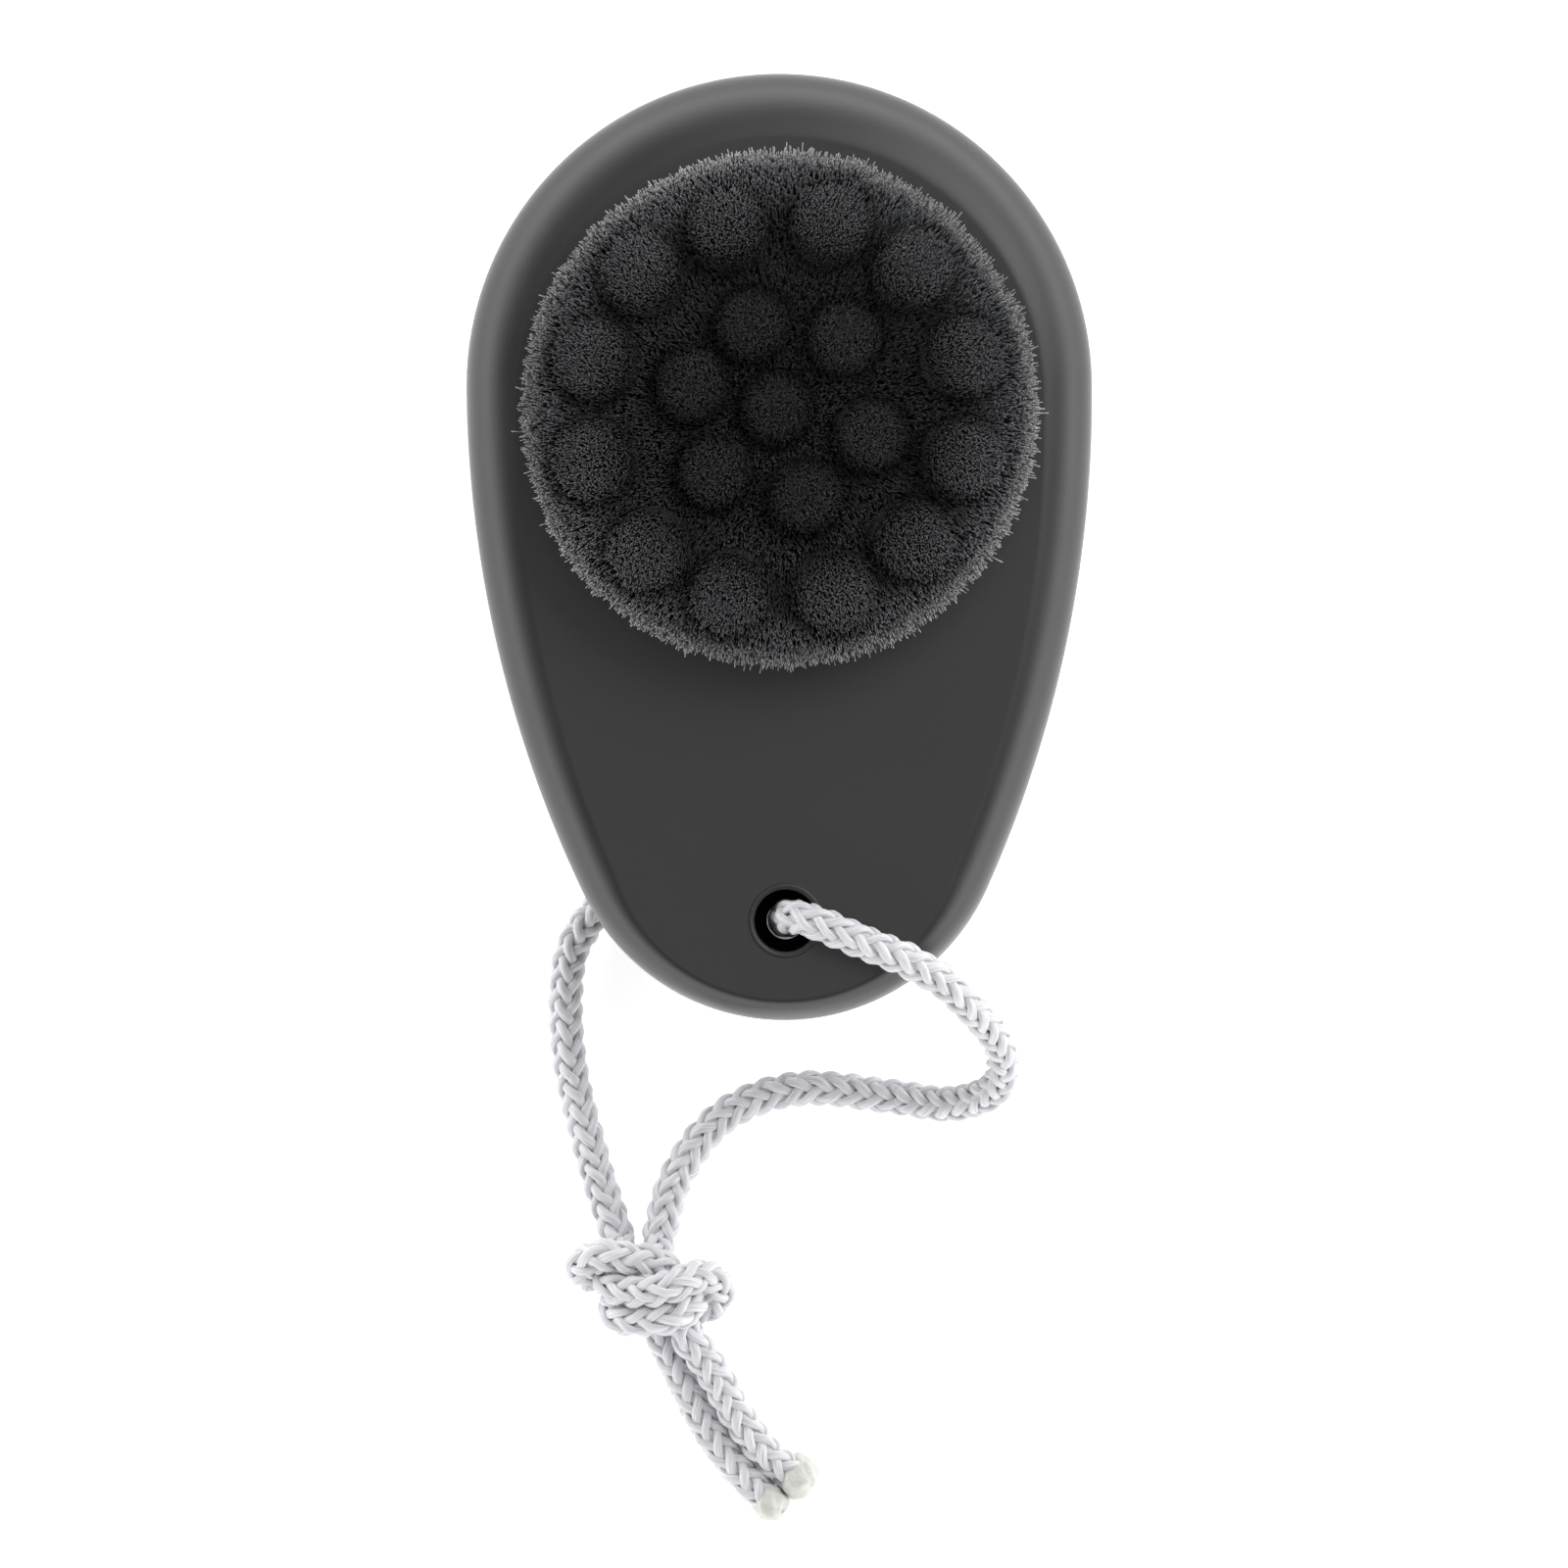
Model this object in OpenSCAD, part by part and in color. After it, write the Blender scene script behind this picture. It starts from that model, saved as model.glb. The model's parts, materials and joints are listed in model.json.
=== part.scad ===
// Hand-held soft-fibre brush: egg-shaped two-shell handle, round fibre head with raised
// tufts, and a braided cord loop through a lanyard hole near the narrow tip.
// Millimetres. The origin is on the brush head's axis, in the plane the back rests on.
// +Y points to the broad end, -Y to the tip and the cord, +Z to the fibres.

/* [Handle] */
// Length of the handle from broad end to tip
body_length = 95; // [92:0.5:98]
// Width of the handle at its broad end
body_width = 62.8; // [61:0.2:64]
// Radius of the two long side curves
side_radius = 120.7; // [115:0.1:130]
// Distance from the brush head's axis to the centre of the broad end's arc
broad_offset = 2.4; // [1:0.1:3]
// Height of the flat front face above the rest plane
face_height = 22; // [21.5:0.5:24]
// Height of the seam between the front and back shells
seam_height = 12; // [11.5:0.1:12.5]
// Wall thickness of both shells
wall = 2; // [1.6:0.1:2.2]
// Radius of the rounded front rim
rim_radius = 5.8; // [5.2:0.1:6]
// Width of the rounded front rim along the sides, up to its crease with the flat face
rim_width = 4.8; // [4:0.1:5]
// How much wider the rim grows at the broad end, as a share
rim_growth = 0.3; // [0:0.05:0.3]
// How much narrower the rim gets at the tip, as a share
rim_taper = 0.6; // [0.3:0.05:0.6]
// Radius of the flat patch that the back rests on
rest_radius = 18; // [16:0.5:20]

/* [Brush head] */
// Outer radius of the cup that holds the fibres
cup_radius = 23.5; // [23:0.1:23.6]
// Outer radius of the fibre head at its widest, splayed tip
head_radius = 25.3; // [24.6:0.1:25.4]
// Height of the short fibres' tips above the rest plane, at the shoulder of the head
bed_height = 35.5; // [34:0.5:37]
// How far the raised tufts stand above the short fibres
tuft_rise = 3.6; // [2.5:0.1:4.5]
// Radius of an outer tuft at its tip
outer_tuft_radius = 4.4; // [4:0.1:4.5]
// Radius of an inner tuft at its tip
inner_tuft_radius = 4.1; // [3.8:0.1:4.2]
// Distance of the outer tufts' tips from the head's axis
outer_ring = 19.2; // [18.8:0.1:19.4]
// Distance of the inner tufts' tips from the head's axis
inner_ring = 9.4; // [9.2:0.1:9.6]

/* [Lanyard hole] */
// Distance from the brush head's axis to the lanyard hole
hole_offset = 51.2; // [50:0.1:52]
// Radius of the lanyard hole
hole_radius = 3.15; // [3:0.05:3.3]
// Wall thickness of the sleeve that lines the hole
sleeve_wall = 0.6; // [0.5:0.05:1]
// Radius of the hole's narrow exit through the back, close round the cord
exit_radius = 1.9; // [1.9:0.05:2.4]

/* [Cord] */
// Diameter of the braided cord
cord_diameter = 3.5; // [3.2:0.1:3.5]
// Sideways place of the knot's middle
knot_x = -14.4; // [-15:0.1:-14]
// Lengthways place of the knot's middle
knot_y = -87.9; // [-89:0.1:-87.5]
// Clearance between cord sections on each side of a bending point
bend_gap = 2; // [1.6:0.1:2.5]

/* [Hidden] */
INNER_TUFTS = [for (i = [1:6]) str("inner_tuft_", i)];
OUTER_TUFTS = [for (i = [1:12]) str("outer_tuft_", i)];

// Colours
shell_colour = "#46464a";
cup_colour = "#2a2b2d";
resin_colour = "#1d1e20";
fibre_colour = "#2e2f31";
tuft_colour = "#3a3b3d";
cord_colour = "#cfcfd4";

// Outline arcs
broad_radius = body_width / 2;
tip_reach = body_length - broad_radius;
side_offset = side_radius - broad_radius;
tip_radius = (pow(side_radius, 2) - pow(side_offset, 2) - pow(tip_reach, 2))
    / (2 * (side_radius - tip_reach));
tip_y = broad_offset - (tip_reach - tip_radius);
side_angle = atan((tip_reach - tip_radius) / side_offset);

// Shell sections
crease_angle = acos(1 - rim_width / rim_radius);
rim_base = face_height - rim_radius * sin(crease_angle);
ceiling = face_height - 2.2;
ceiling_angle = asin((ceiling - rim_base) / (rim_radius - wall));
dome_power = 1.15;
lip_height = 1.5;
lip_inset = 1;
lip_clearance = 0.1;
cut = 1;

// Brush head
cup_fit = 0.1;
cup_wall = 1.2;
cup_base = seam_height + lip_height + lip_clearance;
cup_floor = cup_base + cup_wall + 0.8;
cup_top = face_height + 0.6;
flange_radius = cup_radius + 1.6;
flange_thickness = 2;
disc_thickness = 3;
part_gap = 0.05;
root_height = cup_floor + disc_thickness + 2 * part_gap;
bed_radius = cup_radius - cup_wall - part_gap;
bed_dish = 1.5;
bed_shoulder = 2.5;
tuft_root_share = 0.82;
tuft_dome = 2.4;
socket_depth = 2;
inner_lean = 4;
outer_lean = 8;
ring_start = -15;
support_radius = 20;
support_wall = 2;

// Lanyard hole
hole_y = -hole_offset;
sleeve_radius = hole_radius + sleeve_wall;
sleeve_base = 7.2;
sleeve_chamfer = 0.3;
mouth_height = 5.2;
exit_height = 6.2;
collar_wall = 1.1;
collar_base = 15;

// Cord
cord_radius = cord_diameter / 2;
cord_sides = 10;
table_lift = 0.1;
lying = cord_radius + table_lift;
over_face = face_height + cord_radius + 0.3;

// ---- Outline of the handle ----

function arc_steps(from, to, count) = [for (i = [0:count - 1]) from + (to - from) * i / count];

edge_angles = concat(
    arc_steps(0, 180, 30),
    arc_steps(180, 180 + side_angle, 8),
    arc_steps(180 + side_angle, 360 - side_angle, 20),
    arc_steps(360 - side_angle, 360, 8)
);

// Centre and radius of the outline's arc whose outward normal points along the angle
function arc_of(angle) =
    angle <= 180 ? [0, broad_offset, broad_radius]
    : angle <= 180 + side_angle ? [side_offset, broad_offset, side_radius]
    : angle < 360 - side_angle ? [0, tip_y, tip_radius]
    : [-side_offset, broad_offset, side_radius];

// A point on the outline, drawn in evenly by the inset, and by the rim's own inset: more of
// that at the broad end, less at the tip
function edge_point(angle, inset, rim = 0) =
    let (arc = arc_of(angle), share = sin(angle) > 0 ? rim_growth : rim_taper)
    let (r = arc.z - inset - rim * (1 + share * sin(angle)))
    [arc.x + r * cos(angle), arc.y + r * sin(angle)];

function level_ring(inset, height, rim = 0) =
    [for (angle = edge_angles) concat(edge_point(angle, inset, rim), height)];

// Rings of a rim rounded with the given radius, from its vertical wall to the last angle
function rim_rings(inset, radius, last_angle, count) =
    [for (k = [0:count])
        let (t = last_angle * k / count)
        level_ring(inset, rim_base + radius * sin(t), radius * (1 - cos(t)))];

// Rings of the domed back, from its flat patch up to the seam
function dome_rings(inset, bottom, count) =
    [for (k = [0:count])
        let (t = 90 * (1 - k / count), pull = 1 - cos(t), drop = pow(sin(t), dome_power))
        [for (angle = edge_angles)
            let (edge = edge_point(angle, inset), foot = (rest_radius - inset) * [cos(angle), sin(angle)])
            concat(edge + (foot - edge) * pull, seam_height - (seam_height - bottom) * drop)]];

// Closed solid through rings of points that run anticlockwise, lowest ring first
module loft(rings) {
    count = len(rings[0]);
    top = (len(rings) - 1) * count;
    walls = [for (k = [0:len(rings) - 2], i = [0:count - 1])
        let (a = k * count + i, b = k * count + (i + 1) % count)
        each [[a, a + count, b + count], [a, b + count, b]]];
    caps = [for (i = [1:count - 2]) each [[0, i, i + 1], [top, top + i + 1, top + i]]];
    polyhedron([for (ring = rings) each ring], concat(walls, caps));
}

module at_hole() {
    translate([0, hole_y, 0]) children();
}

// A tube standing between two heights
module tube(outer, inner, from, to) {
    translate([0, 0, from]) difference() {
        cylinder(h = to - from, r = outer, $fn = 96);
        translate([0, 0, -cut]) cylinder(h = to - from + 2 * cut, r = inner, $fn = 96);
    }
}

// ---- Shells ----

module front_cavity() {
    loft(concat(
        [level_ring(lip_inset - lip_clearance, seam_height - cut),
         level_ring(lip_inset - lip_clearance, cup_base)],
        [level_ring(wall, cup_base)],
        rim_rings(wall, rim_radius - wall, ceiling_angle, 4)
    ));
}

module front_shell() {
    color(shell_colour) difference() {
        loft(concat([level_ring(0, seam_height)], rim_rings(0, rim_radius, crease_angle, 9)));
        difference() {
            front_cavity();
            at_hole() translate([0, 0, collar_base])
                cylinder(h = face_height, r = sleeve_radius + collar_wall, $fn = 64);
        }
        cylinder(h = face_height + cut, r = cup_radius + cup_fit, $fn = 128);
        at_hole() cylinder(h = face_height + cut, r = sleeve_radius + part_gap, $fn = 64);
    }
}

module back_cavity() {
    loft(concat(dome_rings(wall, wall, 6), [level_ring(wall, seam_height + lip_height + cut)]));
}

// The wide mouth under the handle, which narrows to a close exit for the cord
module hole_exit() {
    rotate_extrude($fn = 64) polygon([
        [0, -cut],
        [hole_radius, -cut],
        [hole_radius, mouth_height],
        [exit_radius, exit_height],
        [exit_radius, sleeve_base + cut],
        [0, sleeve_base + cut]
    ]);
}

module back_shell() {
    color(shell_colour) difference() {
        loft(concat(
            dome_rings(0, 0, 10),
            [level_ring(lip_inset, seam_height), level_ring(lip_inset, seam_height + lip_height)]
        ));
        difference() {
            back_cavity();
            tube(support_radius, support_radius - support_wall, -cut, face_height);
            at_hole() cylinder(h = face_height, r = sleeve_radius + collar_wall, $fn = 64);
        }
        at_hole() hole_exit();
        at_hole() translate([0, 0, sleeve_base - part_gap])
            cylinder(h = face_height, r = sleeve_radius + part_gap, $fn = 64);
    }
}

module hole_sleeve() {
    height = face_height - sleeve_base;
    color(shell_colour) at_hole() translate([0, 0, sleeve_base]) rotate_extrude($fn = 64)
        polygon([
            [hole_radius, 0],
            [sleeve_radius, 0],
            [sleeve_radius, height],
            [hole_radius + sleeve_chamfer, height],
            [hole_radius, height - sleeve_chamfer]
        ]);
}

// ---- Brush head ----

module brush_cup() {
    inner = cup_radius - cup_wall;
    flange_top = ceiling - part_gap;
    color(cup_colour) rotate_extrude($fn = 128) polygon([
        [0, cup_base],
        [cup_radius, cup_base],
        [cup_radius, flange_top - flange_thickness],
        [flange_radius, flange_top - flange_thickness],
        [flange_radius, flange_top],
        [cup_radius, flange_top],
        [cup_radius, cup_top - cup_wall / 2],
        [cup_radius - cup_wall / 2, cup_top],
        [inner, cup_top],
        [inner, cup_floor],
        [0, cup_floor]
    ]);
}

module root_disc() {
    color(resin_colour) translate([0, 0, cup_floor + part_gap])
        cylinder(h = disc_thickness, r = bed_radius, $fn = 128);
}

// One tuft standing on its root: a slim bundle that widens to a domed tip.
// With spare room given, it is the socket that the tuft stands in, open below.
module tuft(radius, height, spare) {
    shoulder = height - tuft_dome;
    foot = spare > 0 ? -socket_depth : 0;
    dome = [for (angle = [0:15:90])
        [(radius + spare) * cos(angle), shoulder + (tuft_dome + spare) * sin(angle)]];
    rotate_extrude($fn = 48) polygon(concat([[0, foot], [radius * tuft_root_share + spare, foot]], dome));
}

// A tuft whose tip lands on its ring and whose root is drawn in towards the axis
module leaning_tuft(ring, turn, radius, lean, dish, spare) {
    lift = part_gap + radius * tuft_root_share * sin(lean);
    height = (bed_height + tuft_rise - dish - root_height - lift) / cos(lean);
    color(tuft_colour) rotate([0, 0, -turn])
        translate([0, ring - height * sin(lean), root_height + lift])
            rotate([-lean, 0, 0]) tuft(radius, height, spare);
}

module centre_tuft(spare = 0) {
    leaning_tuft(0, 0, inner_tuft_radius, 0, bed_dish, spare);
}

module inner_tuft(index, spare = 0) {
    turn = ring_start + 60 * (index - 1);
    leaning_tuft(inner_ring, turn, inner_tuft_radius, inner_lean, bed_dish / 2, spare);
}

module outer_tuft(index, spare = 0) {
    turn = ring_start + 30 * (index - 1);
    leaning_tuft(outer_ring, turn, outer_tuft_radius, outer_lean, 0, spare);
}

module fibre_bed() {
    color(fibre_colour) difference() {
        rotate_extrude($fn = 128) polygon([
            [0, root_height],
            [bed_radius, root_height],
            [bed_radius, cup_top],
            [head_radius, bed_height - bed_shoulder],
            [head_radius - bed_shoulder / 4, bed_height - bed_shoulder / 4],
            [head_radius - bed_shoulder, bed_height],
            [0, bed_height - bed_dish]
        ]);
        centre_tuft(part_gap);
        for (index = [1:6]) inner_tuft(index, part_gap);
        for (index = [1:12]) outer_tuft(index, part_gap);
    }
}

// ---- Cord ----

function spline(a, b, c, d, t) =
    0.5 * (2 * b + (c - a) * t + (2 * a - 5 * b + 4 * c - d) * t * t + (3 * b - a - 3 * c + d) * t * t * t);

// Smooth path through points, with a sample about every 1.5 mm
function smooth(points) =
    let (last = len(points) - 1)
    concat(
        [for (i = [0:last - 1])
            let (steps = ceil(norm(points[i + 1] - points[i]) / 1.5))
            for (k = [0:steps - 1])
                spline(points[max(i - 1, 0)], points[i], points[i + 1], points[min(i + 2, last)], k / steps)],
        [points[last]]
    );

// The samples of a path that are clear of its two ends by the given distances
function trimmed(path, start_gap, end_gap) =
    [for (p = path) if (norm(p - path[0]) >= start_gap && norm(p - path[len(path) - 1]) >= end_gap) p];

function unit(v) = v / norm(v);
function heading(path, i) = unit(path[min(i + 1, len(path) - 1)] - path[max(i - 1, 0)]);

// The part of a vector square to the path at a sample, as a unit vector
function squared(v, path, i) = unit(v - heading(path, i) * (v * heading(path, i)));

// One side direction per sample, carried along the path so that the cord doesn't twist
function sides(path) =
    [for (i = 0, side = squared([0.3, 1, 0.5], path, 0);
        i < len(path);
        i = i + 1, side = squared(side, path, i)) side];

// A round cord along a path
module cord_run(path) {
    side = sides(path);
    loft([for (i = [0:len(path) - 1])
        let (out = side[i], across = cross(heading(path, i), out))
        [for (k = [0:cord_sides - 1])
            let (angle = 360 * k / cord_sides)
            path[i] + cord_radius * (out * cos(angle) + across * sin(angle))]]);
}

// A tightly knotted cord, whose turns may press into each other
module knotted_run(path) {
    for (i = [0:len(path) - 2]) hull() {
        translate(path[i]) sphere(r = cord_radius, $fn = cord_sides);
        translate(path[i + 1]) sphere(r = cord_radius, $fn = cord_sides);
    }
}

hole = [0, hole_y, 0];
knot = [knot_x, knot_y, 0];
front_exit = hole + [14.4, -5, over_face - 0.5];
back_exit = hole + [-19.4, 1.1, lying];
front_entry = knot + [1.2, 4.4, lying + 0.8];
back_entry = knot + [-2.7, 4.4, lying];
front_out = knot + [4, -5.1, 4.8];
back_out = knot + [1.9, -6.1, lying];

front_root_path = smooth([
    hole + [0, 0, sleeve_base + 2],
    hole + [0.3, 0.3, face_height - 2.2],
    hole + [1.3, 0.3, over_face - 1.1],
    hole + [4, -0.6, over_face],
    hole + [9, -2.8, over_face],
    front_exit
]);

back_root_path = smooth([
    hole + [0, 0, sleeve_base],
    hole + [0, 0, exit_height],
    hole + [0, 0, exit_height - 0.8],
    hole + [-0.9, 0.6, lying + 1.2],
    hole + [-3.6, 1.4, lying],
    hole + [-9.5, 3, lying],
    hole + [-15.2, 3.8, lying],
    back_exit
]);

front_leg_path = smooth([
    front_exit,
    front_exit + [3.8, -3.6, -3],
    hole + [21.5, -13, 15.4],
    hole + [21, -17, 9.8],
    hole + [16.4, -18.7, 4.8],
    hole + [10.5, -17.9, 2.4],
    hole + [1, -17, lying],
    hole + [-6.5, -19.7, lying],
    knot + [3.1, 11, lying],
    front_entry
]);

back_leg_path = smooth([
    back_exit,
    back_exit + [-2.5, -5.2, 0],
    back_exit + [-2.6, -14.5, 0],
    knot + [-5.2, 12.5, lying],
    back_entry
]);

// Each strand of the doubled overhand knot, through offsets from the knot's middle
front_strand = smooth(concat(
    [front_entry],
    [for (offset = [
        [0.5, 1, 5], [-0.8, -1.8, 4.6], [-3.6, -3.6, 5.4], [0, -4.3, 7.6], [3.8, -3.6, 7],
        [6.2, -1.6, 4.6], [3.6, 0.4, 2], [-1.5, 1.2, 2], [-5.4, 1.2, 3.2], [-6.3, 1.5, 5.8],
        [-3.6, 2.8, 7.8], [0.6, 2.2, 8], [3, 0.6, 5.8], [3.5, -2.4, 4.9]
    ]) knot + offset],
    [front_out]
));

back_strand = smooth(concat(
    [back_entry],
    [for (offset = [
        [-2.9, 2, 4.2], [-4.4, 0, 5.2], [-3.2, -1.2, 7.6], [0, -0.9, 8.2], [4, 0, 8],
        [6.4, -0.8, 5.6], [5, -2.6, 2.4], [1.8, -2.7, lying], [1, -4.1, lying]
    ]) knot + offset],
    [back_out]
));

front_tail_path = smooth([
    front_out,
    front_out + [3, -4.1, -0.9],
    front_out + [5.6, -8.4, -1.7],
    front_out + [8.7, -12.4, -2.4],
    front_out + [11.9, -14.4, lying - front_out.z]
]);

back_tail_path = smooth([
    back_out,
    back_out + [1.5, -3.1, 0],
    back_out + [3.6, -7.4, 0],
    back_out + [6.3, -11.6, 0],
    back_out + [10.7, -16.3, 0]
]);

module cord_front_root() {
    color(cord_colour) cord_run(trimmed(front_root_path, 0, bend_gap));
}

module cord_back_root() {
    color(cord_colour) cord_run(trimmed(back_root_path, 0, bend_gap));
}

module cord_front_leg() {
    color(cord_colour) cord_run(trimmed(front_leg_path, bend_gap, bend_gap));
}

module cord_back_leg() {
    color(cord_colour) cord_run(trimmed(back_leg_path, bend_gap, bend_gap));
}

module cord_knot() {
    color(cord_colour) {
        knotted_run(trimmed(front_strand, bend_gap / 2, bend_gap / 2));
        knotted_run(trimmed(back_strand, bend_gap / 2, bend_gap / 2));
    }
}

module cord_front_tail() {
    color(cord_colour) cord_run(trimmed(front_tail_path, bend_gap, 0));
}

module cord_back_tail() {
    color(cord_colour) cord_run(trimmed(back_tail_path, bend_gap, 0));
}

front_shell();
back_shell();
brush_cup();
root_disc();
fibre_bed();
centre_tuft();
for (i = [1:6]) inner_tuft(i);
for (i = [1:12]) outer_tuft(i);
hole_sleeve();
cord_front_root();
cord_back_root();
cord_front_leg();
cord_back_leg();
cord_knot();
cord_front_tail();
cord_back_tail();
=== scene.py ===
"""Looks of a hand-held soft-fibre brush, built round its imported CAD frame.

The handle's shells are rebuilt smooth, the fibre head as real fibres and the cord as a real
braid. Lengths are in millimetres until a mesh is made; +Z is the side with the fibres.
"""

import json
import math

import bpy
import numpy as np
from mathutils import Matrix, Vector


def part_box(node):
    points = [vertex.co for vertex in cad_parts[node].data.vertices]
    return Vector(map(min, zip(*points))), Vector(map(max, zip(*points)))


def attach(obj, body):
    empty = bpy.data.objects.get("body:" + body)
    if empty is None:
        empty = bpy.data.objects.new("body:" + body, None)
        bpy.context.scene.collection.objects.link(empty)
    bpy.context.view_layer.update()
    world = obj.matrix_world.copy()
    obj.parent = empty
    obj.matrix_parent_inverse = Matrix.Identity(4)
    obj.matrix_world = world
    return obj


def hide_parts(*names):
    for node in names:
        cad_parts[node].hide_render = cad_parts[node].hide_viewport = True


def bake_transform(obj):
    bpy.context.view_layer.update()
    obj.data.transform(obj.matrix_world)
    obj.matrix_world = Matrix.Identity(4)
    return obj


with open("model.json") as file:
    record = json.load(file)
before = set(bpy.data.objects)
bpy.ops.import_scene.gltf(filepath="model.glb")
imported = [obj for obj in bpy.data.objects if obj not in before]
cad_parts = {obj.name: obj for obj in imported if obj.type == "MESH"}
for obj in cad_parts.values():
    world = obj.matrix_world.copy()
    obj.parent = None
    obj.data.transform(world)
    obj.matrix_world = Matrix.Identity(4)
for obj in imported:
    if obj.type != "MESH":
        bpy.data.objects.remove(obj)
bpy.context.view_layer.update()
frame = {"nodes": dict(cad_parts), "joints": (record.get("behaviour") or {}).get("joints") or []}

MM = 0.001


def cad_corners(node):
    """Lowest and highest corner of a CAD node, in millimetres."""
    low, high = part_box(node)
    return np.array(low) / MM, np.array(high) / MM


# ---- Sizes taken from the frame ----

front_low, front_high = cad_corners("front_shell")
back_high = cad_corners("back_shell")[1]
cup_low, cup_high = cad_corners("brush_cup")
sleeve_low, sleeve_high = cad_corners("hole_sleeve")
bed_low, bed_high = cad_corners("fibre_bed")

BODY_WIDTH = front_high[0] - front_low[0]
BODY_LENGTH = front_high[1] - front_low[1]
FACE_HEIGHT = front_high[2]
SEAM_HEIGHT = front_low[2]
LIP_HEIGHT = back_high[2] - SEAM_HEIGHT
CUP_TOP = cup_high[2]
CUP_BASE = cup_low[2]
HOLE = np.array([0, (sleeve_low[1] + sleeve_high[1]) / 2, 0])
SLEEVE_RADIUS = (sleeve_high[0] - sleeve_low[0]) / 2
SLEEVE_BASE = sleeve_low[2]
HEAD_RADIUS = (bed_high[0] - bed_low[0]) / 2
BED_HEIGHT = bed_high[2]

# ---- Sizes of the handle ----

SIDE_RADIUS = 120.7
BROAD_RADIUS = BODY_WIDTH / 2
BROAD_Y = front_high[1] - BROAD_RADIUS
WALL = 2.0
FACE_THICKNESS = 2.2
RIM_RADIUS = 5.8
RIM_WIDTH = 4.8
# How much more the rim draws in at the broad end, and how much less at the tip, as shares
RIM_GROWTH = 0.3
RIM_TAPER = 0.6
# Two rings of points just inside the crease keep the flat face crisp
CREASE_STEPS = (0.25, 0.8)
REST_RADIUS = 18.0
DOME_POWER = 1.15
LIP_INSET = 1.0
LIP_CLEARANCE = 0.1
SEAM_ROUND = 0.25
SEAM_MIDDLE = 0.3 * SEAM_ROUND
CUP_HOLE_RADIUS = 23.6
HOLE_RADIUS = SLEEVE_RADIUS - 0.6
SLEEVE_ROUND = 0.3
SLEEVE_GAP = 0.03
SLEEVE_EDGE = 0.1
MOUTH_HEIGHT = 5.2
EXIT_HEIGHT = 6.2
EXIT_RADIUS = 1.9
# How far a cutting shape runs past what it cuts
CUT = 1
RIM_CREASE = math.acos(1 - RIM_WIDTH / RIM_RADIUS)
RIM_BASE = FACE_HEIGHT - RIM_RADIUS * math.sin(RIM_CREASE)

# ---- Sizes of the fibre head ----

FIBRE_LENGTH = 11.0
FIBRE_RADIUS = 0.075
FIBRE_BOW = 0.1
BLUNT_TIP = 0.05
# Where a fibre has a ring of points, as shares of its length, and how wide it is there
FIBRE_LEVELS = ((0.0, 1.0), (0.6, 0.95), (1 - BLUNT_TIP / FIBRE_LENGTH, 0.72))
FIBRE_SIDES = 3
POINTS_PER_FIBRE = FIBRE_SIDES * len(FIBRE_LEVELS) + 1
# Depth of the packed, dark core under the fibres' tips
CORE_DEPTH = 1.5
# How unevenly the fibres stand, are cut and lean, as standard deviations
TUFT_JITTER, TUFT_UNEVEN, TUFT_LEAN = 0.06, 0.16, 0.13
BED_JITTER, BED_UNEVEN, BED_LEAN = 0.05, 0.3, 0.28
FRINGE_UNEVEN, FRINGE_LEAN, FRINGE_SPREAD = 0.45, 0.012, 0.2

TUFT_FIBRES = 2400
TUFT_ROOT_SHARE = 0.82
TUFT_DOME = 2.4
TUFT_SWAY = 0.25
TUFT_LOBE = 0.018
TUFT_EDGE = 0.15
# Painted light and shade: the tufts of the outer ring are painted lighter, and the inner tufts darker, for
# the shade towards the head's middle
OUTER_PAINTED_LIGHT = 1.1
INNER_PAINTED_SHADE = 0.57
# Tufts farther than this from the head's axis belong to the outer ring
OUTER_ZONE = 15.0

BED_FIBRES = 56000
BED_SECTORS = 3
BED_ROOT_SHARE = 0.88
BED_DISH = 1.5
BED_SHOULDER = 2.5
BED_LIFT = 0.6
BED_EDGE = 0.5
# Short fibres stand only outside this share of each tuft's radius
TUFT_CLEARING = 0.96

FRINGE_FIBRES = 9000
FRINGE_ROOT_RADIUS = 21.9
FRINGE_REACH = 0.65
FRINGE_DEPTH = 1.5
FRINGE_BOW = 0.16
# Waves round the head that gather the fringe into clumps
FRINGE_CLUMPS = (5, 13, 29, 61)
CLUMP_SIZE = 0.09
# A few hairs stand out farther than the rest
LONG_HAIR_SHARE = 0.02
LONG_HAIR_REACH = (0.3, 0.9)

# ---- Sizes of the cord ----

CORD_RADIUS = 1.75
BRAID_PITCH = 12.6
CARRIERS = 6
YARN_HALF_WIDTH = 0.5
YARN_HALF_THICKNESS = 0.4
YARN_MIDDLE = 1.13
YARN_WEAVE = 0.33
YARN_STRAY = 0.05
YARN_SWELL = 0.07
STRAY_LENGTHS = (7.3, 4.1, 2.7)
YARN_SIDES = 10
CORD_CORE_RADIUS = 1.0
CORE_SIDES = 12
CORD_STEP = 0.25
KNOT_STEP = 0.7
# Least distance between the middles of two strands in the knot
KNOT_GAP = 3.15
# Height of the lowest point of a cord that lies on the table, above the table
TABLE_LIFT = 0.1
# From the knot's hinge to the knot's middle
KNOT_MIDDLE = [0.75, -4.4, 0]
TAIL_SETTLE = [-0.27, -0.17, 0]
MELTED_SIZES = {"front": (2.25, 3.2), "back": (1.95, 3.0)}
MELTED_LIFT = 0.12
# The tied pieces start and stop this far inside the knot
TIED_INSET = 4
# Two flat faces whose normals agree this well, and that lie this near, belong to one cap
SAME_WAY = 0.9999
SAME_PLACE = 0.02
CAP_TRIANGLES = 6

# ---- Sizes of the stage ----

FLOOR_TONE = 0.93
FLOOR_GLOW = 0.6
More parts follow.
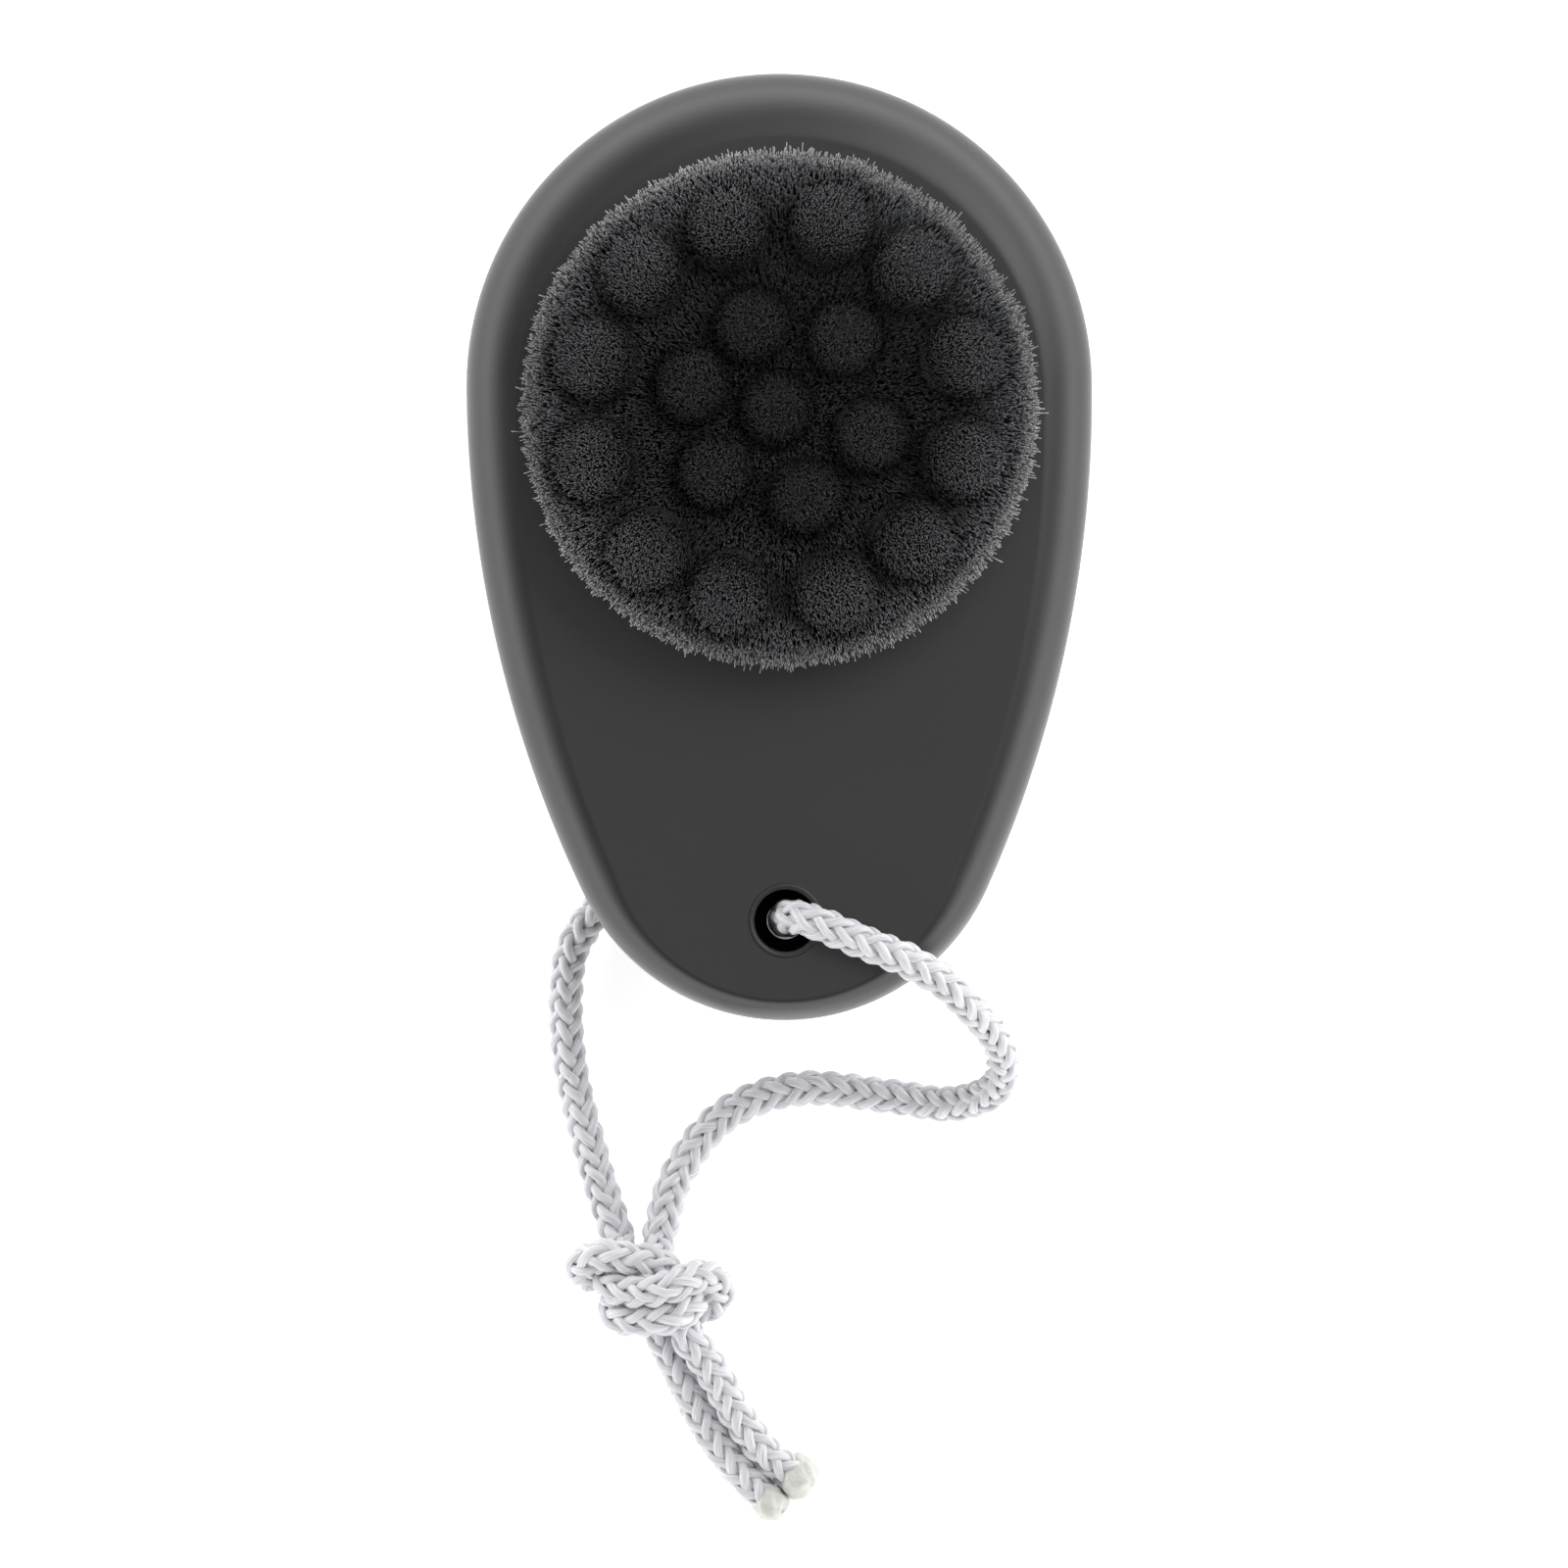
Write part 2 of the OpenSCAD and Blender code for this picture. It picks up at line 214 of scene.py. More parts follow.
# A painted shadow under the handle: there the floor is painted darker and doesn't glow, or it would shine up
# the hole
SHADE_TONE = 0.25
SHADE_HALF_WIDTH = 28.0
SHADE_HALF_LENGTH = 45.5
SHADE_Y = -13.5
# Brightness of the surroundings at places from straight below (0) to straight above (1)
SKY_LEVELS = ((0.0, 3.6), (0.25, 2.9), (0.5, 1.0), (0.7, 0.15), (0.88, 0.15), (1.0, 0.72))
SKY_PEAK = 3.6


# ---- Mesh helpers ----

def new_piece(name, points, faces, material):
    """A smooth mesh object from points in millimetres."""
    mesh = bpy.data.meshes.new(name)
    mesh.from_pydata(np.asarray(points, float) * MM, [], faces)
    mesh.polygons.foreach_set("use_smooth", [True] * len(mesh.polygons))
    mesh.update()
    piece = bpy.data.objects.new(name, mesh)
    bpy.context.scene.collection.objects.link(piece)
    if material is not None:
        mesh.materials.append(material)
    return piece


def add_material(piece, material, first_face):
    """Gives the piece a second material, on its faces from the first one on."""
    piece.data.materials.append(material)
    slots = np.arange(len(piece.data.polygons)) >= first_face
    piece.data.polygons.foreach_set("material_index", slots.astype(np.int32))


def set_attribute(piece, name, values):
    """Stores one number per point, for the material to read."""
    attribute = piece.data.attributes.new(name, "FLOAT", "POINT")
    attribute.data.foreach_set("value", np.asarray(values, np.float32))


def around(count):
    """Evenly spaced angles round a full turn."""
    return 2 * math.pi * np.arange(count) / count


def flat_ring(radius, height, count, centre=(0, 0)):
    """Points of a level circle."""
    turn = around(count)
    x = centre[0] + radius * np.cos(turn)
    y = centre[1] + radius * np.sin(turn)
    return np.column_stack([x, y, np.full(count, height)])


def ring_faces(rings, count):
    """Faces of a closed tube of rings, each with count points that run anticlockwise."""
    k, i = np.meshgrid(np.arange(rings - 1), np.arange(count), indexing="ij")
    a = (k * count + i).ravel()
    b = (k * count + (i + 1) % count).ravel()
    faces = np.stack([a, b, b + count, a + count], 1).tolist()
    faces.append(list(range(count))[::-1])
    faces.append(list(range((rings - 1) * count, rings * count)))
    return faces


def loft(rings):
    """Closed solid through rings of the same number of points, lowest ring first."""
    return np.concatenate(rings), ring_faces(len(rings), len(rings[0]))


def solid_of_turn(profile, count, centre=(0, 0)):
    """Closed solid from (radius, height) pairs, lowest first."""
    return loft([flat_ring(radius, height, count, centre) for radius, height in profile])


def hollow_of_turn(profile, count, centre=(0, 0)):
    """Ring-shaped solid from a closed (radius, height) profile that runs up the outside first."""
    points = np.concatenate([flat_ring(radius, height, count, centre) for radius, height in profile])
    k, i = np.meshgrid(np.arange(len(profile)), np.arange(count), indexing="ij")
    row, next_row = k * count, (k + 1) % len(profile) * count
    next_i = (i + 1) % count
    faces = np.stack([next_row + i, next_row + next_i, row + next_i, row + i], -1)
    return points, faces.reshape(-1, 4).tolist()


def joined(parts):
    """Points and faces of several (points, faces) parts as one."""
    points, faces = [], []
    shift = 0
    for part_points, part_faces in parts:
        points.append(part_points)
        faces += [[corner + shift for corner in face] for face in part_faces]
        shift += len(part_points)
    return np.concatenate(points), faces


def cut_away(piece, solid):
    """Boolean difference with a closed (points, faces) solid, applied to the piece."""
    cutter = new_piece("cutter", *solid, None)
    modifier = piece.modifiers.new("cut", "BOOLEAN")
    modifier.operation = "DIFFERENCE"
    modifier.solver = "EXACT"
    modifier.object = cutter
    bpy.context.view_layer.update()
    evaluated = piece.evaluated_get(bpy.context.evaluated_depsgraph_get())
    cut_mesh = bpy.data.meshes.new_from_object(evaluated)
    piece.modifiers.clear()
    piece.data = cut_mesh
    bpy.data.objects.remove(cutter)


def sharpen(piece, degrees):
    """Smooth shading, with edges sharper than the angle kept crisp."""
    piece.data.polygons.foreach_set("use_smooth", [True] * len(piece.data.polygons))
    piece.data.set_sharp_from_angle(angle=math.radians(degrees))


def cad_points(mesh):
    """A CAD mesh's distinct points in millimetres, and the number of the point at each vertex."""
    rounded = np.round([vertex.co[:] for vertex in mesh.vertices], 7)
    points, index = np.unique(rounded, axis=0, return_inverse=True)
    return points / MM, index.ravel()


# ---- Materials ----

def principled(name):
    material = bpy.data.materials.new(name)
    material.use_nodes = True
    nodes, links = material.node_tree.nodes, material.node_tree.links
    return material, nodes, links, nodes["Principled BSDF"]


def noise(nodes, links, coordinate, scale, detail, stretch=(1, 1, 1)):
    mapping = nodes.new("ShaderNodeMapping")
    mapping.inputs["Scale"].default_value = stretch
    links.new(coordinate, mapping.inputs["Vector"])
    texture = nodes.new("ShaderNodeTexNoise")
    texture.inputs["Scale"].default_value = scale
    texture.inputs["Detail"].default_value = detail
    links.new(mapping.outputs["Vector"], texture.inputs["Vector"])
    return texture.outputs["Fac"]


def remap(nodes, links, value, low, high, out_low, out_high):
    """The value moved from the first range to the second, and kept inside it."""
    node = nodes.new("ShaderNodeMapRange")
    node.inputs["From Min"].default_value = low
    node.inputs["From Max"].default_value = high
    node.inputs["To Min"].default_value = out_low
    node.inputs["To Max"].default_value = out_high
    links.new(value, node.inputs["Value"])
    return node.outputs["Result"]


def multiply(nodes, links, first, second):
    """Product of a socket and either another socket or a number."""
    node = nodes.new("ShaderNodeMath")
    node.operation = "MULTIPLY"
    links.new(first, node.inputs[0])
    if isinstance(second, (int, float)):
        node.inputs[1].default_value = second
    else:
        links.new(second, node.inputs[1])
    return node.outputs["Value"]


def tint(nodes, links, factor, dark, light):
    """Colour from dark to light by the factor."""
    node = nodes.new("ShaderNodeMix")
    node.data_type = "RGBA"
    node.inputs["A"].default_value = (*dark, 1)
    node.inputs["B"].default_value = (*light, 1)
    links.new(factor, node.inputs["Factor"])
    return node.outputs["Result"]


def bump(nodes, links, shader, height, distance, strength):
    """Relief of the given depth in millimetres."""
    node = nodes.new("ShaderNodeBump")
    node.inputs["Distance"].default_value = distance * MM
    node.inputs["Strength"].default_value = strength
    links.new(height, node.inputs["Height"])
    links.new(node.outputs["Normal"], shader.inputs["Normal"])


def attribute(nodes, name):
    node = nodes.new("ShaderNodeAttribute")
    node.attribute_name = name
    return node.outputs["Fac"]


def soft_touch_material():
    """Matt rubbery coating: a fine orange-peel grain and a slightly uneven, warm sheen."""
    material, nodes, links, shader = principled("soft_touch")
    place = nodes.new("ShaderNodeTexCoord").outputs["Object"]
    grain = noise(nodes, links, place, 3200, 2)
    clouds = noise(nodes, links, place, 60, 4)
    colour = tint(nodes, links, clouds, (0.0105, 0.0107, 0.0118), (0.0130, 0.0132, 0.0143))
    links.new(colour, shader.inputs["Base Color"])
    links.new(remap(nodes, links, clouds, 0.3, 0.7, 0.38, 0.44), shader.inputs["Roughness"])
    shader.inputs["Specular IOR Level"].default_value = 0.62
    shader.inputs["Sheen Weight"].default_value = 0.32
    shader.inputs["Sheen Roughness"].default_value = 0.3
    shader.inputs["Sheen Tint"].default_value = (1.0, 0.955, 0.91, 1)
    bump(nodes, links, shader, grain, 0.02, 0.35)
    return material


def moulded_material(name, dark, light, roughness):
    """Plain moulded plastic or resin with a fine grain."""
    material, nodes, links, shader = principled(name)
    place = nodes.new("ShaderNodeTexCoord").outputs["Object"]
    grain = noise(nodes, links, place, 1500, 3)
    links.new(tint(nodes, links, grain, dark, light), shader.inputs["Base Color"])
    uneven = remap(nodes, links, grain, 0.3, 0.7, roughness - 0.05, roughness + 0.05)
    links.new(uneven, shader.inputs["Roughness"])
    bump(nodes, links, shader, grain, 0.02, 0.3)
    return material


def fibre_material(name, dark, light):
    """Matt fibres: each has its own tone, carrying the painted light and shade of its place, and is painted
    lighter at its tip than at its foot, painted light on the tips and painted shade down in the pile.
    """
    material, nodes, links, shader = principled(name)
    # Painted shade down in the pile: the lower part of each fibre is painted darker than its tip
    along = remap(nodes, links, attribute(nodes, "along"), 0.7, 1.0, 0.12, 1.0)
    factor = multiply(nodes, links, attribute(nodes, "shade"), along)
    links.new(tint(nodes, links, factor, dark, light), shader.inputs["Base Color"])
    shader.inputs["Roughness"].default_value = 0.48
    shader.inputs["Specular IOR Level"].default_value = 0.35
    return material


def yarn_material():
    """Bright filament yarn, with fine filaments that run along it."""
    material, nodes, links, shader = principled("cord_yarn")
    join = nodes.new("ShaderNodeCombineXYZ")
    links.new(attribute(nodes, "across"), join.inputs["X"])
    links.new(attribute(nodes, "along"), join.inputs["Y"])
    links.new(attribute(nodes, "shade"), join.inputs["Z"])
    filaments = noise(nodes, links, join.outputs["Vector"], 1.0, 2, (9.0, 0.35, 40.0))
    lightness = remap(nodes, links, filaments, 0.3, 0.7, 0, 1)
    colour = tint(nodes, links, lightness, (0.48, 0.48, 0.505), (0.80, 0.80, 0.83))
    links.new(colour, shader.inputs["Base Color"])
    shader.inputs["Roughness"].default_value = 0.3
    shader.inputs["Sheen Weight"].default_value = 0.25
    bump(nodes, links, shader, filaments, 0.07, 0.9)
    return material


def melted_material():
    """Heat-sealed cord end: waxy, slightly yellow and lumpy."""
    material, nodes, links, shader = principled("melted_cord")
    place = nodes.new("ShaderNodeTexCoord").outputs["Object"]
    lumps = noise(nodes, links, place, 900, 3)
    colour = tint(nodes, links, lumps, (0.47, 0.48, 0.44), (0.68, 0.69, 0.65))
    links.new(colour, shader.inputs["Base Color"])
    shader.inputs["Roughness"].default_value = 0.38
    shader.inputs["Subsurface Weight"].default_value = 0.15
    shader.inputs["Subsurface Scale"].default_value = MM
    bump(nodes, links, shader, lumps, 0.4, 0.9)
    return material


def floor_material():
    """White matt floor with a faint glow, and a painted shadow: darker and without glow in an oval under the
    handle.
    """
    material, nodes, links, shader = principled("pale_floor")
    mapping = nodes.new("ShaderNodeMapping")
    mapping.inputs["Scale"].default_value = (1 / (SHADE_HALF_WIDTH * MM), 1 / (SHADE_HALF_LENGTH * MM), 0)
    mapping.inputs["Location"].default_value = (0, -SHADE_Y / SHADE_HALF_LENGTH, 0)
    links.new(nodes.new("ShaderNodeNewGeometry").outputs["Position"], mapping.inputs["Vector"])
    reach = nodes.new("ShaderNodeVectorMath")
    reach.operation = "LENGTH"
    links.new(mapping.outputs["Vector"], reach.inputs[0])
    outside = reach.outputs["Value"]
    # Painted shadow: inside the oval under the handle the floor is painted darker and doesn't glow
    tone = remap(nodes, links, outside, 0.85, 1.0, SHADE_TONE, FLOOR_TONE)
    glow = remap(nodes, links, outside, 0.85, 1.0, 0, FLOOR_GLOW)
    links.new(tone, shader.inputs["Base Color"])
    links.new(glow, shader.inputs["Emission Strength"])
    shader.inputs["Emission Color"].default_value = (1, 1, 1, 1)
    shader.inputs["Roughness"].default_value = 0.9
    shader.inputs["Specular IOR Level"].default_value = 0.1
    return material


SOFT_TOUCH = soft_touch_material()
CUP_PLASTIC = moulded_material("cup_plastic", (0.018, 0.018, 0.019), (0.024, 0.024, 0.026), 0.5)
RESIN = moulded_material("potting_resin", (0.010, 0.010, 0.011), (0.015, 0.015, 0.016), 0.3)
# One dark grey fibre in three materials, painted lighter or darker for the light each part of the head
# catches; the fringe's splayed fibres are painted much lighter, for the light on their sides
TUFT_FIBRE = fibre_material("tuft_fibre", (0.016, 0.016, 0.0175), (0.19, 0.191, 0.199))
BED_FIBRE = fibre_material("bed_fibre", (0.026, 0.026, 0.028), (0.42, 0.423, 0.44))
FRINGE_FIBRE = fibre_material("fringe_fibre", (0.05, 0.05, 0.051), (0.62, 0.615, 0.625))
FIBRE_CORE = moulded_material("fibre_core", (0.020, 0.020, 0.022), (0.028, 0.028, 0.030), 0.9)
YARN = yarn_material()
# The braid has no core of its own: a core painted dark fills its middle, painted shade that shows in the gaps
# between the yarns
CORD_SHADE_CORE = moulded_material("cord_shade_core", (0.12, 0.12, 0.13), (0.18, 0.18, 0.19), 0.8)
MELTED = melted_material()


# ---- Handle ----

def egg_outline():
    """Outward angles round the handle, and the centre and radius of the arc at each."""
    tip_reach = BODY_LENGTH - BROAD_RADIUS
    side_offset = SIDE_RADIUS - BROAD_RADIUS
    tip_radius = ((SIDE_RADIUS ** 2 - side_offset ** 2 - tip_reach ** 2)
                  / (2 * (SIDE_RADIUS - tip_reach)))
    tip_y = BROAD_Y - (tip_reach - tip_radius)
    side_angle = math.degrees(math.atan((tip_reach - tip_radius) / side_offset))
    stretches = (
        (0, 180, 100, (0, BROAD_Y, BROAD_RADIUS)),
        (180, 180 + side_angle, 36, (side_offset, BROAD_Y, SIDE_RADIUS)),
        (180 + side_angle, 360 - side_angle, 64, (0, tip_y, tip_radius)),
        (360 - side_angle, 360, 36, (-side_offset, BROAD_Y, SIDE_RADIUS)),
    )
    angles, arcs = [], []
    for start, stop, count, arc in stretches:
        for step in range(count):
            angles.append(math.radians(start + (stop - start) * step / count))
            arcs.append(arc)
    return np.array(angles), np.array(arcs, float)


ANGLES, ARCS = egg_outline()


def level_ring(inset, height, rim=0):
    """The handle's outline drawn in evenly by the inset, and by the rim's own inset.

    The rim draws in more at the broad end and less at the tip.
    """
    share = np.where(np.sin(ANGLES) > 0, RIM_GROWTH, RIM_TAPER)
    reach = ARCS[:, 2] - inset - rim * (1 + share * np.sin(ANGLES))
    x = ARCS[:, 0] + reach * np.cos(ANGLES)
    y = ARCS[:, 1] + reach * np.sin(ANGLES)
    return np.column_stack([x, y, np.full(len(ANGLES), height)])


def rim_profile(inset, radius, last_angle, count):
    """(inset, height, rim inset) up the rounded rim."""
    turns = [last_angle * step / count for step in range(count + 1)]
    return [(inset, RIM_BASE + radius * math.sin(t), radius * (1 - math.cos(t))) for t in turns]


def dome_rings(inset, bottom, count):
    """Rings of the domed back, from its flat patch up to the seam."""
    edge = level_ring(inset, 0)[:, :2]
    foot = (REST_RADIUS - inset) * np.column_stack([np.cos(ANGLES), np.sin(ANGLES)])
    rings = []
    for step in range(count + 1):
        t = math.pi / 2 * (1 - step / count)
        flat = edge + (foot - edge) * (1 - math.cos(t))
        height = SEAM_HEIGHT - (SEAM_HEIGHT - bottom) * math.sin(t) ** DOME_POWER
        rings.append(np.column_stack([flat, np.full(len(flat), height)]))
    return rings


def front_cavity():
    """The space inside the front shell: a step for the back shell's lip, then the rim's wall."""
    step = LIP_INSET - LIP_CLEARANCE
    ceiling = FACE_HEIGHT - FACE_THICKNESS
    last_angle = math.asin((ceiling - RIM_BASE) / (RIM_RADIUS - WALL))
    rows = [(step, SEAM_HEIGHT - CUT), (step, CUP_BASE), (WALL, CUP_BASE)]
    rows += rim_profile(WALL, RIM_RADIUS - WALL, last_angle, 6)
    return loft([level_ring(*row) for row in rows])


def place_shell(shell, node):
    """Shades a finished shell, and puts it in the place of its CAD node."""
    sharpen(shell, 35)
    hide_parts(node)
    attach(shell, "handle")


def front_shell():
    """The face of the handle, with its rounded rim and its two openings."""
    rows = [(SEAM_ROUND, SEAM_HEIGHT), (SEAM_MIDDLE, SEAM_HEIGHT + SEAM_MIDDLE),
            (0, SEAM_HEIGHT + SEAM_ROUND), (0, (SEAM_HEIGHT + RIM_BASE) / 2)]
    rows += rim_profile(0, RIM_RADIUS, RIM_CREASE, 20)
    rows += [(inset, FACE_HEIGHT, RIM_WIDTH) for inset in CREASE_STEPS]
    shell = new_piece("shell_front", *loft([level_ring(*row) for row in rows]), SOFT_TOUCH)
    cut_away(shell, front_cavity())
    above = FACE_HEIGHT + CUT
    cut_away(shell, solid_of_turn([(CUP_HOLE_RADIUS, SEAM_HEIGHT), (CUP_HOLE_RADIUS, above)], 160))
    cut_away(shell, solid_of_turn([(SLEEVE_RADIUS, SEAM_HEIGHT - CUT), (SLEEVE_RADIUS, above)], 64, HOLE))
    place_shell(shell, "front_shell")


def back_shell():
    """The domed back, with the cord's exit: a wide mouth below that narrows to the cord."""
    rings = dome_rings(0, 0, 28)[:-1]
    rings += [level_ring(*row) for row in (
        (0, SEAM_HEIGHT - SEAM_ROUND),
        (SEAM_MIDDLE, SEAM_HEIGHT - SEAM_MIDDLE),
        (SEAM_ROUND, SEAM_HEIGHT),
        (LIP_INSET, SEAM_HEIGHT),
        (LIP_INSET, SEAM_HEIGHT + LIP_HEIGHT),
    )]
    shell = new_piece("shell_back", *loft(rings), SOFT_TOUCH)
    cavity = dome_rings(WALL, WALL, 10) + [level_ring(WALL, SEAM_HEIGHT + LIP_HEIGHT + CUT)]
    cut_away(shell, loft(cavity))
    mouth = [(HOLE_RADIUS, -CUT), (HOLE_RADIUS, MOUTH_HEIGHT),
             (EXIT_RADIUS, EXIT_HEIGHT), (EXIT_RADIUS, SLEEVE_BASE + CUT)]
    cut_away(shell, solid_of_turn(mouth, 64, HOLE))
    place_shell(shell, "back_shell")


def hole_sleeve():
    """The tube through the handle that the cord runs in, with a rounded lip."""
    outer = SLEEVE_RADIUS - SLEEVE_GAP
    profile = [(outer, SLEEVE_BASE), (outer, FACE_HEIGHT - SLEEVE_GAP),
               (SLEEVE_RADIUS - SLEEVE_EDGE, FACE_HEIGHT)]
    for t in np.linspace(0, math.pi / 2, 6):
        inward, down = 1 - math.sin(t), 1 - math.cos(t)
        profile.append((HOLE_RADIUS + SLEEVE_ROUND * inward, FACE_HEIGHT - SLEEVE_ROUND * down))
    profile.append((HOLE_RADIUS, SLEEVE_BASE))
    sleeve = new_piece("sleeve", *hollow_of_turn(profile, 96, HOLE), SOFT_TOUCH)
    sharpen(sleeve, 40)
    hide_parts("hole_sleeve")
    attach(sleeve, "handle")


# ---- Fibre head ----

def spike_faces(count):
    """Faces of many fibres: a foot, walls between the rings and a point."""
    first = POINTS_PER_FIBRE * np.arange(count)
    last_ring = FIBRE_SIDES * (len(FIBRE_LEVELS) - 1)
    corners = [(corner, (corner + 1) % FIBRE_SIDES) for corner in range(FIBRE_SIDES)]
    triangles = [np.column_stack([first + 2, first + 1, first])]
    for here, there in corners:
        point = first + POINTS_PER_FIBRE - 1
        triangles.append(np.column_stack([first + last_ring + here, first + last_ring + there, point]))
    quads = []
    for ring in range(0, last_ring, FIBRE_SIDES):
        for here, there in corners:
            low, high = first + ring, first + ring + FIBRE_SIDES
            quads.append(np.column_stack([low + here, low + there, high + there, high + here]))
    return np.concatenate(triangles).tolist() + np.concatenate(quads).tolist()


def spikes(roots, tips, radius, bow):
    """Closed three-sided fibres from roots to tips, each bowed sideways, and how far along each point is."""
    heading = tips - roots
    side = np.cross(heading, np.array([0.31, 0.95, 0.05]))
    side /= np.linalg.norm(side, axis=1)[:, None]
    across = np.cross(heading, side)
    across /= np.linalg.norm(across, axis=1)[:, None]
    points = []
    for share, width in FIBRE_LEVELS:
        middle = roots + heading * share + bow * (share * (1 - share) * 4)
        for turn in around(FIBRE_SIDES):
            offset = side * math.cos(turn) + across * math.sin(turn)
            points.append(middle + offset * (radius * width)[:, None])
    points.append(tips)
    points = np.stack(points, 1).reshape(-1, 3)
    shares = np.repeat([share for share, _ in FIBRE_LEVELS], FIBRE_SIDES)
    return points, spike_faces(len(roots)), np.tile(np.append(shares, 1.0), len(roots))


def sunflower(count, radius, rng, jitter):
    """Evenly packed points on a disc."""
    index = np.arange(count) + 0.5
    reach = radius * np.sqrt(index / count)
    turn = index * math.pi * (3 - math.sqrt(5))
    flat = np.column_stack([reach * np.cos(turn), reach * np.sin(turn)])
    return flat + rng.normal(0, jitter, flat.shape)


def fibre_piece(name, core, roots, tips, material, rng, bow_size, painted_light):
    """A dark packed core with the fibres that stand out of it, as one piece."""
    radius = FIBRE_RADIUS * rng.uniform(0.8, 1.15, len(roots))
    bow = rng.normal(0, bow_size, roots.shape) * [1, 1, 0]
    points, faces, along = spikes(roots, tips, radius, bow)
    # Each fibre's own random tone, times the painted light and shade of its place
    shade = np.repeat(painted_light * rng.uniform(0.68, 1, len(roots)), POINTS_PER_FIBRE)
    core_points, core_faces = core
    piece = new_piece(name, *joined([core, (points, faces)]), FIBRE_CORE)
    add_material(piece, material, len(core_faces))
    no_shade = np.zeros(len(core_points))
    set_attribute(piece, "along", np.concatenate([no_shade, along]))
    set_attribute(piece, "shade", np.concatenate([no_shade, shade]))
    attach(piece, "handle")
    return piece


def tuft_axis(node):
    """Foot, unit axis, height and radius of a CAD tuft, found from its mesh.

    A tuft is a slender solid of revolution, so its longest principal axis is its own axis.
    """
    points, _ = cad_points(frame["nodes"][node].data)
    axis = np.linalg.svd(points - points.mean(0), full_matrices=False)[2][0]
    axis *= np.sign(axis[2])
    along = points @ axis
    foot = points[along < along.min() + 0.05].mean(0)
    rel = points - foot
    radius = np.linalg.norm(rel - np.outer(rel @ axis, axis), axis=1).max()
    return foot, axis, np.ptp(along), radius


def painted_tuft_light(tips, share, centre, radius):
    """Painted light and shade on a tuft's fibres: painted shade at its edge, and on the outer tufts, painted
    light on the side that faces out of the head and painted shade on the side that faces in.
    """
    ring = np.linalg.norm(centre[:2])
    outward = np.zeros(len(tips))
    if ring > OUTER_ZONE:
        outward = np.clip((np.linalg.norm(tips[:, :2], axis=1) - ring) / radius, -1, 1)
    edge = np.clip((share - 0.5) / 0.45, 0, 1) ** 1.8
    return (1 - 0.88 * edge * (1 - 0.65 * np.maximum(outward, 0))) * (1 + 0.75 * outward)


def tuft_core(radius, height, sway):
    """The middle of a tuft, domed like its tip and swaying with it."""
    top = height - CORE_DEPTH
    profile = [(radius * TUFT_ROOT_SHARE, 0)]
    for turn in np.linspace(0, 0.48 * math.pi, 6):
        profile.append((radius * 0.9 * math.cos(turn), top - TUFT_DOME * (1 - math.sin(turn))))
    points, faces = solid_of_turn(profile, 32)
    points[:, :2] += sway * points[:, 2:] / height
    return points, faces


def tuft(node, seed, painted_light):
    """One raised tuft. Gives its tip's middle and its radius."""
    foot, axis, height, radius = tuft_axis(node)
    rng = np.random.default_rng(seed)
    side = np.cross([0, 1, 0], axis)
    side /= np.linalg.norm(side)
    turn = np.stack([side, np.cross(axis, side), axis])

    # A tuft is never quite round, and sways a little off its axis
    sway = np.clip(rng.normal(0, TUFT_SWAY, 2), -2 * TUFT_SWAY, 2 * TUFT_SWAY)
    flat = sunflower(TUFT_FIBRES, radius - TUFT_EDGE, rng, TUFT_JITTER)
    round_way = np.arctan2(flat[:, 1], flat[:, 0])
    for lobes in (2, 3, 5):
        phase = rng.uniform(0, 2 * math.pi)
        flat = flat * (1 + TUFT_LOBE * np.sin(lobes * round_way + phase))[:, None]

    share = np.minimum(np.linalg.norm(flat, axis=1) / radius, 1)
    dome = TUFT_DOME * (1 - np.sqrt(1 - share ** 3))
    tip_heights = height - dome - np.abs(rng.normal(0, TUFT_UNEVEN, len(flat)))
    roots = np.column_stack([flat * TUFT_ROOT_SHARE, tip_heights - FIBRE_LENGTH])
    scatter = rng.normal(0, TUFT_LEAN, flat.shape) * (1 + 1.5 * share[:, None] ** 4)
    tips = np.column_stack([flat + scatter + sway, tip_heights])

    roots, tips = roots @ turn + foot, tips @ turn + foot
    core_points, core_faces = tuft_core(radius, height, sway)
    centre = foot + axis * height + sway @ turn[:2]
    # Painted light and shade for each fibre: the ring's painted lightness times the tuft's own painted light
    # and shade
    light = painted_light * painted_tuft_light(tips, share, centre, radius)
    piece = fibre_piece("fibres_" + node, (core_points @ turn + foot, core_faces),
                        roots, tips, TUFT_FIBRE, rng, FIBRE_BOW, light)
    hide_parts(node)
    return centre, radius


def bed_height_at(reach):
    """Height of the short fibres' tips at a distance from the head's axis."""
    flat_edge = HEAD_RADIUS - BED_SHOULDER
    dish = BED_DISH * (1 - np.minimum(reach / flat_edge, 1))
    fall = np.maximum(reach - flat_edge, 0) ** 2 / BED_SHOULDER * 0.5
    lift = BED_LIFT * np.clip((20 - reach) / 4, 0, 1)
    return BED_HEIGHT + lift - dish - fall


def painted_bed_light(reach, clear):
    """Painted light and shade on the short fibres: painted lighter towards the rim, less so close to a tuft
    where shade falls, and a little lighter towards the middle.
    """
    towards_rim = np.clip((reach - 18) / 4.5, 0, 1) ** 1.3
    beside_tufts = 0.35 + 0.65 * np.clip(clear / 1.1, 0, 1)
    towards_middle = np.clip((9 - reach) / 4, 0, 1)
    return 0.36 + 0.22 * towards_middle + 0.4 * towards_rim * beside_tufts


